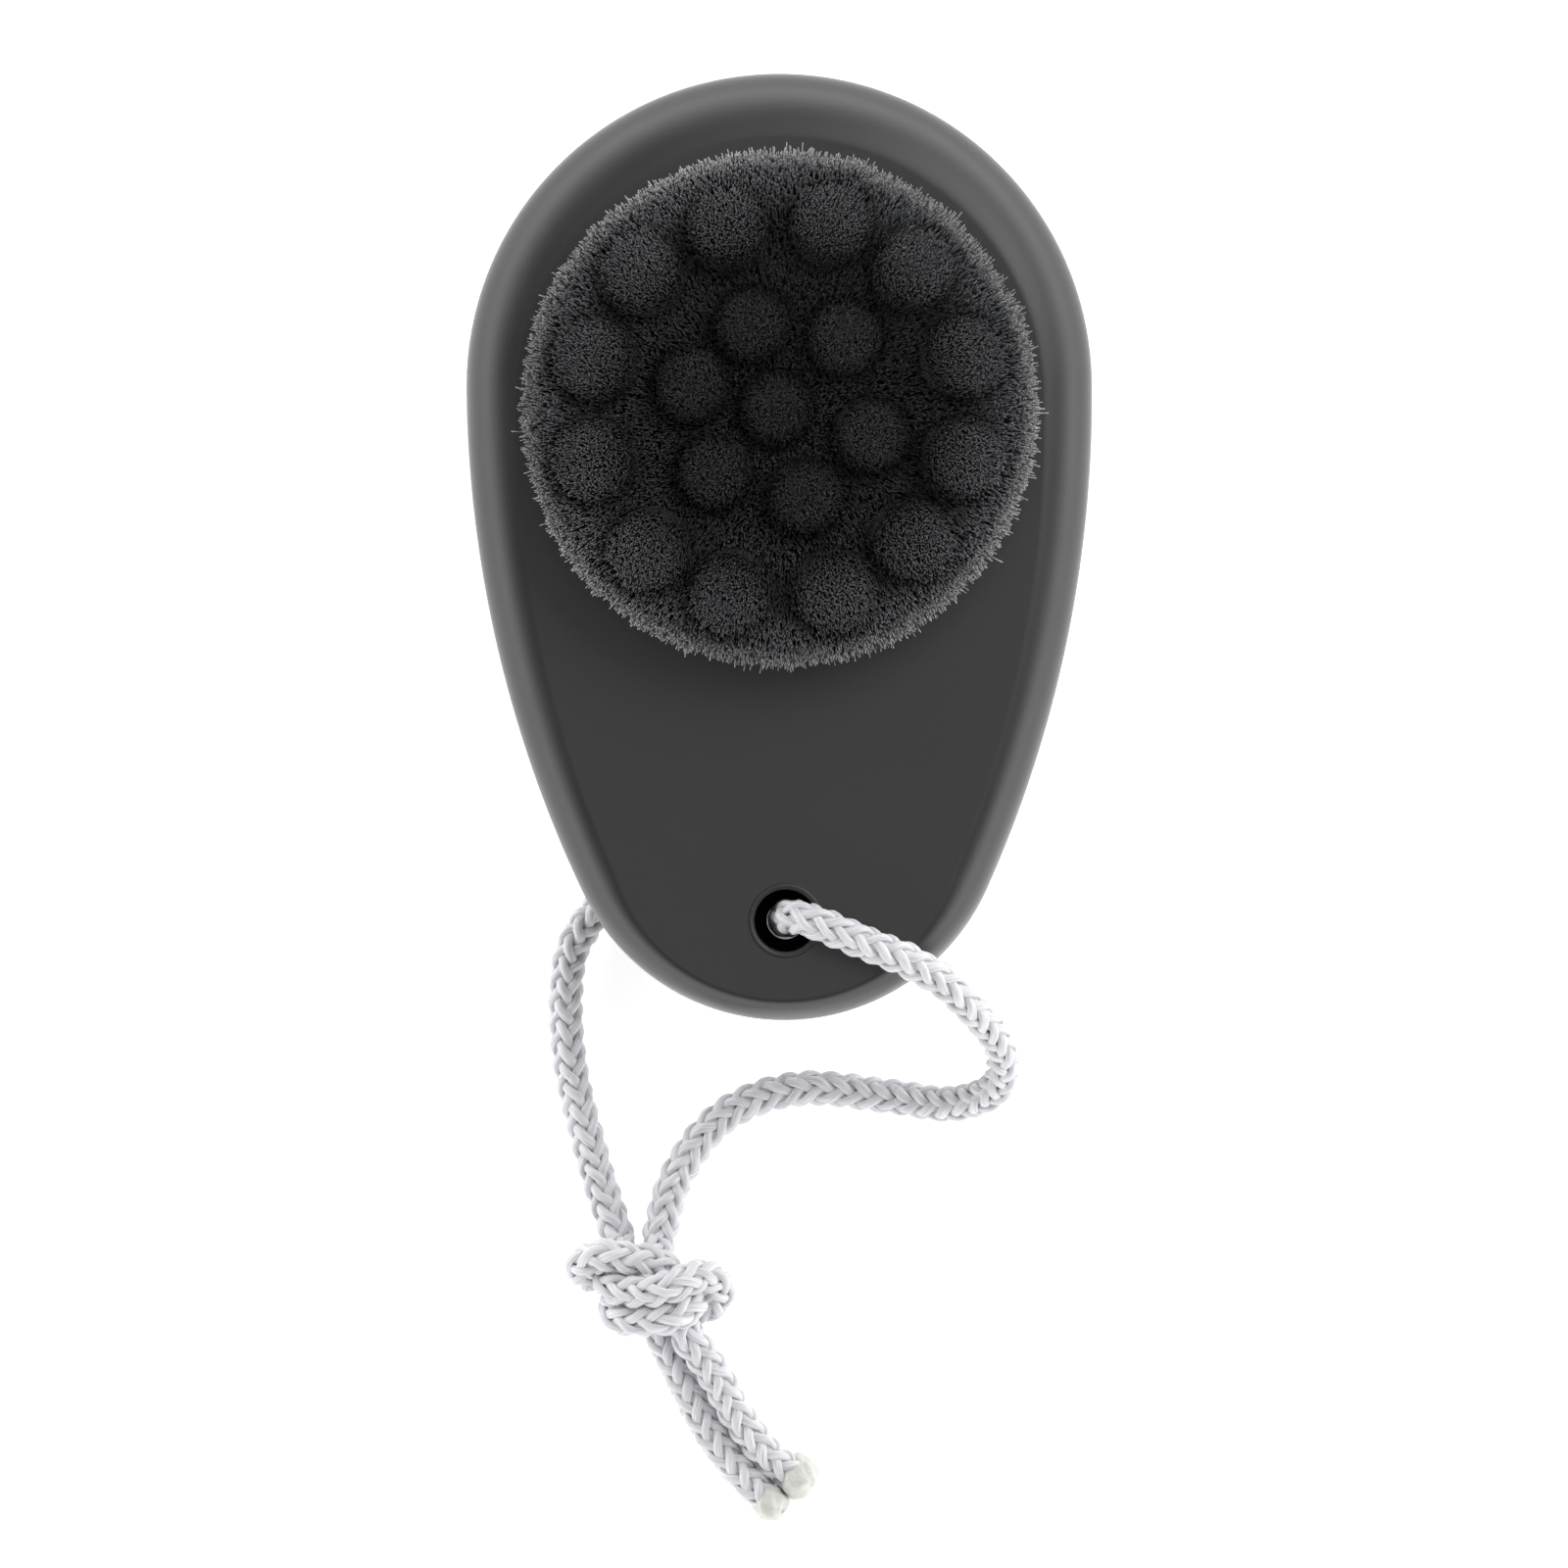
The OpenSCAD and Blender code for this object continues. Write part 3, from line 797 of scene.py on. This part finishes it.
def fibre_bed(tuft_tips):
    """The field of short fibres round the tufts, as one piece for each sector."""
    rng = np.random.default_rng(11)
    flat = sunflower(BED_FIBRES, HEAD_RADIUS - BED_EDGE, rng, BED_JITTER)
    for tip, radius in tuft_tips:
        flat = flat[np.linalg.norm(flat - tip[:2], axis=1) > radius * TUFT_CLEARING]
    reach = np.linalg.norm(flat, axis=1)
    tip_heights = bed_height_at(reach) - np.abs(rng.normal(0, BED_UNEVEN, len(flat)))
    roots = np.column_stack([flat * BED_ROOT_SHARE, tip_heights - FIBRE_LENGTH])
    tips = np.column_stack([flat + rng.normal(0, BED_LEAN, flat.shape), tip_heights])

    core_top = BED_HEIGHT - CORE_DEPTH
    core = solid_of_turn([
        (HEAD_RADIUS * BED_ROOT_SHARE, CUP_BASE + 6),
        (HEAD_RADIUS * BED_ROOT_SHARE, CUP_TOP),
        (HEAD_RADIUS - 1.2, core_top - 4),
        (HEAD_RADIUS - 3, core_top - 1),
        (HEAD_RADIUS - 8, core_top - 2.2),
    ], 128)
    no_core = (np.zeros((0, 3)), [])
    clear = np.min([np.linalg.norm(flat - tip[:2], axis=1) - radius for tip, radius in tuft_tips], axis=0)
    # Painted light and shade on each short fibre, by its place on the head and its distance from the nearest
    # tuft
    light = painted_bed_light(reach, clear)
    turns = np.arctan2(flat[:, 1], flat[:, 0]) / (2 * math.pi) % 1
    sector = np.floor(turns * BED_SECTORS).astype(int)
    for number in range(BED_SECTORS):
        chosen = sector == number
        piece = fibre_piece(f"fibres_bed_{number + 1}", no_core if number else core,
                            roots[chosen], tips[chosen], BED_FIBRE, rng, FIBRE_BOW, light[chosen])
        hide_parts("fibre_bed")


def fringe():
    """The outermost fibres, which splay out over the cup's rim in uneven clumps."""
    rng = np.random.default_rng(23)
    count = FRINGE_FIBRES
    turn = 2 * math.pi * (np.arange(count) + rng.uniform(-0.5, 0.5, count)) / count
    depth = rng.uniform(0, 1, count)
    clumps = sum(CLUMP_SIZE * np.sin(waves * turn + rng.uniform(0, 2 * math.pi)) for waves in FRINGE_CLUMPS)
    is_long = rng.uniform(0, 1, count) < LONG_HAIR_SHARE
    long_hairs = np.where(is_long, rng.uniform(*LONG_HAIR_REACH, count), 0)
    spread = rng.normal(0, FRINGE_SPREAD, count) + clumps + long_hairs
    high = HEAD_RADIUS + FRINGE_REACH - depth * FRINGE_DEPTH + spread
    top = BED_HEIGHT - 1.9 + depth * 1.4 - np.abs(rng.normal(0, FRINGE_UNEVEN, count))
    lean = turn + rng.normal(0, FRINGE_LEAN, count)
    low = FRINGE_ROOT_RADIUS - depth
    roots = np.column_stack([low * np.cos(turn), low * np.sin(turn), np.full(count, CUP_TOP - 1.5)])
    tips = np.column_stack([high * np.cos(lean), high * np.sin(lean), top])
    core = solid_of_turn([(21.0, CUP_TOP - 2), (21.2, CUP_TOP - 1), (21.0, CUP_TOP)], 96)
    # Painted shade: the fibres deeper inside the fringe are painted darker than those at its outer edge,
    # which catch the light from the side
    fibre_piece("fibres_fringe", core, roots, tips, FRINGE_FIBRE, rng, FRINGE_BOW, 1 - 0.2 * depth)


# ---- Cord ----

def flat_caps(points, triangles):
    """Sets of points that form a flat, round end of a CAD cord section."""
    first, second, third = (points[triangles[:, corner]] for corner in range(3))
    normals = np.cross(second - first, third - first)
    normals /= np.linalg.norm(normals, axis=1)[:, None]
    offsets = np.einsum("ij,ij->i", normals, first)
    caps = []
    for k in range(len(triangles)):
        same = (normals @ normals[k] > SAME_WAY) & (np.abs(offsets - offsets[k]) < SAME_PLACE)
        members = np.unique(triangles[same])
        span = np.linalg.norm(points[members] - points[members].mean(0), axis=1)
        if same.sum() >= CAP_TRIANGLES and np.ptp(span) < SAME_PLACE and set(members) not in caps:
            caps.append(set(members))
    return caps


def ring_middles(node, near):
    """Middles of the rings of a CAD cord section, starting from the end nearest a point."""
    mesh = frame["nodes"][node].data
    points, index = cad_points(mesh)
    mesh.calc_loop_triangles()
    triangles = np.array([[index[v] for v in t.vertices] for t in mesh.loop_triangles])
    neighbours = [set() for _ in points]
    for a, b, c in triangles:
        neighbours[a] |= {b, c}
        neighbours[b] |= {a, c}
        neighbours[c] |= {a, b}
    ring = min(flat_caps(points, triangles), key=lambda cap: np.linalg.norm(points[list(cap)].mean(0) - near))
    middles, seen = [], set()
    while ring:
        middles.append(points[list(ring)].mean(0))
        seen |= ring
        ring = set().union(*(neighbours[v] for v in ring)) - seen
    return np.array(middles)


def distances(path):
    """Distance along a path at each of its points."""
    return np.concatenate([[0], np.cumsum(np.linalg.norm(np.diff(path, axis=0), axis=1))])


def hermite(start, end, leaving, arriving, t):
    """Cubic between two points, with the given slopes at its ends."""
    return ((2 * t ** 3 - 3 * t ** 2 + 1) * start + (t ** 3 - 2 * t ** 2 + t) * leaving
            + (-2 * t ** 3 + 3 * t ** 2) * end + (t ** 3 - t ** 2) * arriving)


def resample(points, step):
    """Smooth curve through points, sampled evenly."""
    spans = np.linalg.norm(np.diff(points, axis=0), axis=1)
    points = points[np.concatenate([[True], spans > 1e-3])]
    spans = np.linalg.norm(np.diff(points, axis=0), axis=1)
    knots = np.concatenate([[0], np.cumsum(np.sqrt(spans))])
    slopes = np.gradient(points, knots, axis=0)
    t = np.linspace(0, 1, 24, endpoint=False)[:, None]
    dense = []
    for k in range(len(points) - 1):
        span = knots[k + 1] - knots[k]
        dense.append(hermite(points[k], points[k + 1], span * slopes[k], span * slopes[k + 1], t))
    dense = np.concatenate(dense + [points[-1:]])
    run = distances(dense)
    even = np.linspace(0, run[-1], max(2, int(round(run[-1] / step)) + 1))
    return np.column_stack([np.interp(even, run, dense[:, axis]) for axis in range(3)])


def carried_frames(path):
    """Heading, side and across directions at each sample, without twist."""
    heading = np.gradient(path, axis=0)
    heading /= np.linalg.norm(heading, axis=1)[:, None]
    side = np.cross(heading[0], [0.3, 1, 0.5])
    sides = []
    for direction in heading:
        side = side - direction * (side @ direction)
        side /= np.linalg.norm(side)
        sides.append(side)
    sides = np.array(sides)
    return heading, sides, np.cross(heading, sides)


def relax_knot(strands):
    """Pushes the strands of the knot apart until they lie against each other and on the table."""
    rounds, end_points, near_points = 260, 3, 8
    push_share, smooth_share, return_share, longest_move = 0.14, 0.22, 0.02, 0.25
    lengths = [len(strand) for strand in strands]
    points = np.concatenate(strands)
    drawn = points.copy()
    strand = np.repeat(np.arange(len(strands)), lengths)
    order = np.concatenate([np.arange(length) for length in lengths])
    fixed = (order < end_points) | (order >= np.repeat(lengths, lengths) - end_points)
    apart = (strand[:, None] != strand[None]) | (np.abs(order[:, None] - order[None]) > near_points)
    inner = np.flatnonzero(~fixed)
    for _ in range(rounds):
        gaps = points[:, None] - points[None]
        spans = np.linalg.norm(gaps, axis=2) + 1e-9
        push = np.where(apart & (spans < KNOT_GAP), (KNOT_GAP - spans) / spans, 0)
        move = (gaps * push[..., None]).sum(1) * push_share
        middles = (points[inner - 1] + points[inner + 1]) / 2
        move[inner] += smooth_share * (middles - points[inner])
        move += return_share * (drawn - points)
        move[fixed] = 0
        points += np.clip(move, -longest_move, longest_move)
        points[:, 2] = np.maximum(points[:, 2], CORD_RADIUS + TABLE_LIFT)
    return np.split(points, np.cumsum(lengths)[:-1])


def swept(middle, wide, out, half_width, half_height, sides):
    """Closed tube with an oval section along the middle points, as points and faces."""
    section = around(sides)
    across = wide[:, None] * (half_width[:, None] * np.cos(section))[:, :, None]
    upward = out[:, None] * (half_height * np.sin(section))[None, :, None]
    points = (middle[:, None] + across + upward).reshape(-1, 3)
    return points, ring_faces(len(middle), sides)


def yarn(stretch, carrier, direction, stray):
    """One yarn, which winds round the cord over and under the yarns that wind the other way."""
    path, heading, side, across, run = stretch
    waves = [np.sin(2 * math.pi * run / length + stray.uniform(0, 2 * math.pi)) for length in STRAY_LENGTHS]
    turn = 2 * math.pi / BRAID_PITCH * run
    angle = 2 * math.pi * carrier / CARRIERS + direction * turn + YARN_STRAY * sum(waves)
    crossings = CARRIERS * turn / math.pi
    over = direction * np.cos(math.pi / 2 * (2 * carrier + direction * crossings - 0.5))
    reach = YARN_MIDDLE + YARN_WEAVE * over
    out = side * np.cos(angle)[:, None] + across * np.sin(angle)[:, None]
    slant = direction * 2 * math.pi / BRAID_PITCH * reach
    along = heading + np.cross(heading, out) * slant[:, None]
    along /= np.linalg.norm(along, axis=1)[:, None]
    half_width = YARN_HALF_WIDTH * (1 + YARN_SWELL * (waves[0] - waves[1]))
    middle = path + out * reach[:, None]
    return swept(middle, np.cross(out, along), out, half_width, YARN_HALF_THICKNESS, YARN_SIDES)


def braid(name, cord, start, stop):
    """The part of a braided cord between two distances along it, with a core painted dark for the shade
    between the yarns.
    """
    path, (heading, side, across), run = cord
    rows = np.flatnonzero((run >= start - 1e-6) & (run <= stop + 1e-6))
    stretch = path[rows], heading[rows], side[rows], across[rows], run[rows]
    stray = np.random.default_rng(5)
    parts, attributes = [], []
    for direction in (1, -1):
        for carrier in range(CARRIERS):
            parts.append(yarn(stretch, carrier, direction, stray))
            label = carrier + CARRIERS * (direction > 0)
            attributes.append(np.column_stack([
                np.tile(np.cos(around(YARN_SIDES)), len(rows)),
                np.repeat(run[rows], YARN_SIDES),
                np.full(len(rows) * YARN_SIDES, label / CARRIERS),
            ]))
    yarn_faces = sum(len(faces) for _, faces in parts)
    # A core painted dark in the braid's middle, painted shade that shows in the gaps between the yarns
    core_width = np.full(len(rows), CORD_CORE_RADIUS)
    parts.append(swept(path[rows], side[rows], across[rows], core_width, CORD_CORE_RADIUS, CORE_SIDES))
    attributes.append(np.zeros((len(rows) * CORE_SIDES, 3)))
    piece = new_piece(name, *joined(parts), YARN)
    add_material(piece, CORD_SHADE_CORE, yarn_faces)
    values = np.concatenate(attributes)
    for column, label in enumerate(("across", "along", "shade")):
        set_attribute(piece, label, values[:, column])
    return piece


def melted_end(name, cord, body, spread, length):
    """Blunt, lumpy heat-sealed end of the cord, as wide as twice the spread."""
    path, (heading, side, across), _ = cord
    phases = np.random.default_rng(len(name)).uniform(0, 2 * math.pi, 5)
    rings, count = 24, 40
    level, turn = np.meshgrid(np.linspace(0, math.pi, rings), around(count), indexing="ij")
    level, turn = level.ravel(), turn.ravel()
    lump = (1 + 0.09 * np.sin(2 * turn + phases[0] + level)
            + 0.05 * np.sin(5 * turn + phases[1] + 3 * level)
            + 0.03 * np.sin(9 * turn + phases[3] - 5 * level))
    ragged = 0.2 * np.sin(3 * turn + phases[2]) + 0.1 * np.sin(7 * turn + phases[4])
    reach = spread * lump * np.sqrt(np.maximum(np.sin(level), 0.02))
    forward = ragged - length / 2 * (np.cos(level) + 0.4)
    out = side[-1] * np.cos(turn)[:, None] + across[-1] * np.sin(turn)[:, None]
    points = path[-1] + heading[-1] * forward[:, None] + out * reach[:, None]
    points[:, 2] = np.maximum(points[:, 2], MELTED_LIFT)
    piece = new_piece(name, points, ring_faces(rings, count), MELTED)
    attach(piece, body)


def joint_place(name):
    found = [joint for joint in frame["joints"] if joint["name"] == name]
    return np.array(found[0]["pos_m"]) / MM


def blend_at(piece):
    """Bakes the piece's placement into its mesh."""
    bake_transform(piece)


def cord_strand(which, sections, strand):
    """One end of the cord, from the hole through the loop and the knot to its tail.

    Its pieces are cut between the hinges.
    """
    root, leg, tail = sections
    path = resample(np.concatenate([root, leg, strand, tail]), CORD_STEP)
    run = distances(path)
    frames = carried_frames(path)
    cord = (path, frames, run)

    def nearest(point, after=0.0):
        spans = np.linalg.norm(path - point, axis=1)
        return int(np.argmin(np.where(run < after, np.inf, spans)))

    def sample_before(distance):
        return run[np.searchsorted(run, distance) - 1]

    swing = nearest((root[-1] + leg[0]) / 2)
    enter = nearest(strand[0], run[swing])
    leave = nearest(strand[-1], run[enter] + 10)
    half = (run[swing] + run[enter]) / 2
    inside, outside = run[enter] + TIED_INSET, run[leave] - TIED_INSET

    upper = braid(f"cord_{which}_upper", cord, 0, half)
    blend_at(upper)
    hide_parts(f"cord_{which}_root")
    lower = braid(f"cord_{which}_lower", cord, sample_before(half), inside)
    blend_at(lower)
    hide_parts(f"cord_{which}_leg")
    tied = braid(f"cord_{which}_tied", cord, sample_before(inside), outside)
    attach(tied, "knot")
    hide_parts("cord_knot")
    loose = braid(f"cord_{which}_loose", cord, sample_before(outside), run[-1])
    blend_at(loose)
    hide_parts(f"cord_{which}_tail")
    melted_end(f"cord_{which}_end", cord, f"{which}_tail", *MELTED_SIZES[which])


def knot_strands(front_ends, back_ends):
    """The two strands of the doubled overhand knot, drawn loosely and then pulled tight.

    The numbers are places that each strand passes through, measured from the knot's middle.
    """
    middle = joint_place("knot_fold") * [1, 1, 0] + KNOT_MIDDLE
    front = [(0.5, 1.3, 4.6), (-1.8, 0.2, 4), (-4.4, -1.5, 3.6), (-2.9, -3.1, 6.2), (0, -3.3, 7.4),
             (3.4, -2.7, 7), (4.8, -1.2, 4.6), (3.2, 0.4, 2), (-1.5, 1.3, 2), (-5.2, 1.4, 3.2),
             (-6.2, 1.7, 5.8), (-3.6, 2.9, 7.6), (0.4, 2.2, 7.8), (2.8, 0.8, 5.6), (3.5, -2.2, 4.6)]
    back = [(-2.9, 2.1, 4.2), (-4.6, 0.4, 5), (-3.2, -0.5, 7.4), (0, -0.1, 8.2), (3.4, 0.6, 8),
            (5.1, -0.4, 5.6), (4.4, -2.2, 2.4), (1.8, -2.6, 1.85), (1.2, -4.1, 1.85)]
    strands = []
    for offsets, (first, last) in ((front, front_ends), (back, back_ends)):
        drawn = np.concatenate([[first], middle + np.array(offsets), [last]])
        strands.append(resample(drawn, KNOT_STEP))
    return relax_knot(strands)


def whole_cord():
    """Both ends of the cord, along the CAD sections and through the knot."""
    near_hole = HOLE + [0, 0, SLEEVE_BASE + 1]
    front_root = ring_middles("cord_front_root", near_hole)
    back_root = ring_middles("cord_back_root", near_hole)
    front_leg = ring_middles("cord_front_leg", front_root[-1])
    back_leg = ring_middles("cord_back_leg", back_root[-1])
    front_out = joint_place("front_tail_splay")
    back_out = joint_place("back_tail_splay")
    front_tail = ring_middles("cord_front_tail", front_out)
    back_tail = ring_middles("cord_back_tail", back_out)
    # The front tail settles against the back one, over the first third of its length
    settled = np.minimum(3 * np.linspace(0, 1, len(front_tail)), 1)
    front_tail = front_tail + settled[:, None] * TAIL_SETTLE
    fold_y = joint_place("knot_fold")[1]

    def entry(leg):
        """Where a leg, carried straight on, passes over the knot's hinge."""
        heading = leg[-1] - leg[-2]
        heading /= np.linalg.norm(heading)
        return leg[-1] + heading * (leg[-1][1] - fold_y) / -heading[1]

    front_knot, back_knot = knot_strands((entry(front_leg), front_out), (entry(back_leg), back_out))
    cord_strand("front", (front_root, front_leg, front_tail), front_knot)
    cord_strand("back", (back_root, back_leg, back_tail), back_knot)


# ---- Stage, in metres ----

def studio_world():
    """Soft light from all round: bright below and towards the sides, darker overhead."""
    world = bpy.data.worlds.new("studio")
    world.use_nodes = True
    nodes, links = world.node_tree.nodes, world.node_tree.links
    split = nodes.new("ShaderNodeSeparateXYZ")
    links.new(nodes.new("ShaderNodeTexCoord").outputs["Generated"], split.inputs["Vector"])
    ramp = nodes.new("ShaderNodeValToRGB")
    stops = ramp.color_ramp.elements
    stops.remove(stops[0])
    for index, (height, level) in enumerate(SKY_LEVELS):
        stop = stops.new(height) if index else stops[0]
        tone = level / SKY_PEAK
        stop.position = height
        stop.color = (tone, tone, tone, 1)
    links.new(split.outputs["Z"], ramp.inputs["Fac"])
    level = multiply(nodes, links, ramp.outputs["Color"], SKY_PEAK)
    slope = remap(nodes, links, split.outputs["Y"], -1, 1, 0.78, 1.4)
    background = nodes["Background"]
    background.inputs["Color"].default_value = (1, 1, 1, 1)
    links.new(multiply(nodes, links, level, slope), background.inputs["Strength"])
    bpy.context.scene.world = world


def studio_floor():
    """A plain pale floor, a hair below the object's rest face."""
    half, drop = 1.5, 0.0002
    corners = [(-half, -half, 0), (half, -half, 0), (half, half, 0), (-half, half, 0)]
    mesh = bpy.data.meshes.new("floor")
    mesh.from_pydata(corners, [], [[0, 1, 2, 3]])
    mesh.materials.append(floor_material())
    floor = bpy.data.objects.new("floor", mesh)
    floor.location = (0, 0, -drop)
    bpy.context.scene.collection.objects.link(floor)


def studio_lamp():
    """A large soft lamp above the right shoulder, aimed at the handle."""
    light = bpy.data.lights.new("softbox", "AREA")
    light.size = 0.6
    light.energy = 4
    lamp = bpy.data.objects.new("softbox", light)
    lamp.location = (0.45, 0.35, 0.9)
    target = Vector((0, -0.03, 0))
    lamp.rotation_euler = (target - lamp.location).to_track_quat("-Z", "Y").to_euler()
    bpy.context.scene.collection.objects.link(lamp)


def studio_camera():
    """A camera high above the object that looks straight down."""
    distance, frame_width = 4.0, 0.158
    view = bpy.data.cameras.new("camera")
    view.sensor_width = 36
    view.lens = view.sensor_width * distance / frame_width
    view.clip_end = 10
    camera = bpy.data.objects.new("camera", view)
    camera.location = (0, -0.0375, distance)
    camera.rotation_euler = (0, 0, math.radians(-0.69))
    bpy.context.scene.collection.objects.link(camera)
    bpy.context.scene.camera = camera
    bpy.context.scene.view_settings.view_transform = "Standard"


def dress(node, material):
    """Gives a CAD node that stays in view its material."""
    mesh = frame["nodes"][node].data
    mesh.materials.clear()
    mesh.materials.append(material)


front_shell()
back_shell()
hole_sleeve()
dress("brush_cup", CUP_PLASTIC)
dress("root_disc", RESIN)
tuft_nodes = ["centre_tuft"]
tuft_nodes += [f"inner_tuft_{number}" for number in range(1, 7)]
tuft_nodes += [f"outer_tuft_{number}" for number in range(1, 13)]
fibre_bed([tuft(node, 100 + number, OUTER_PAINTED_LIGHT if node.startswith("outer") else INNER_PAINTED_SHADE)
           for number, node in enumerate(tuft_nodes)])
fringe()
whole_cord()
studio_floor()
studio_world()
studio_lamp()
studio_camera()
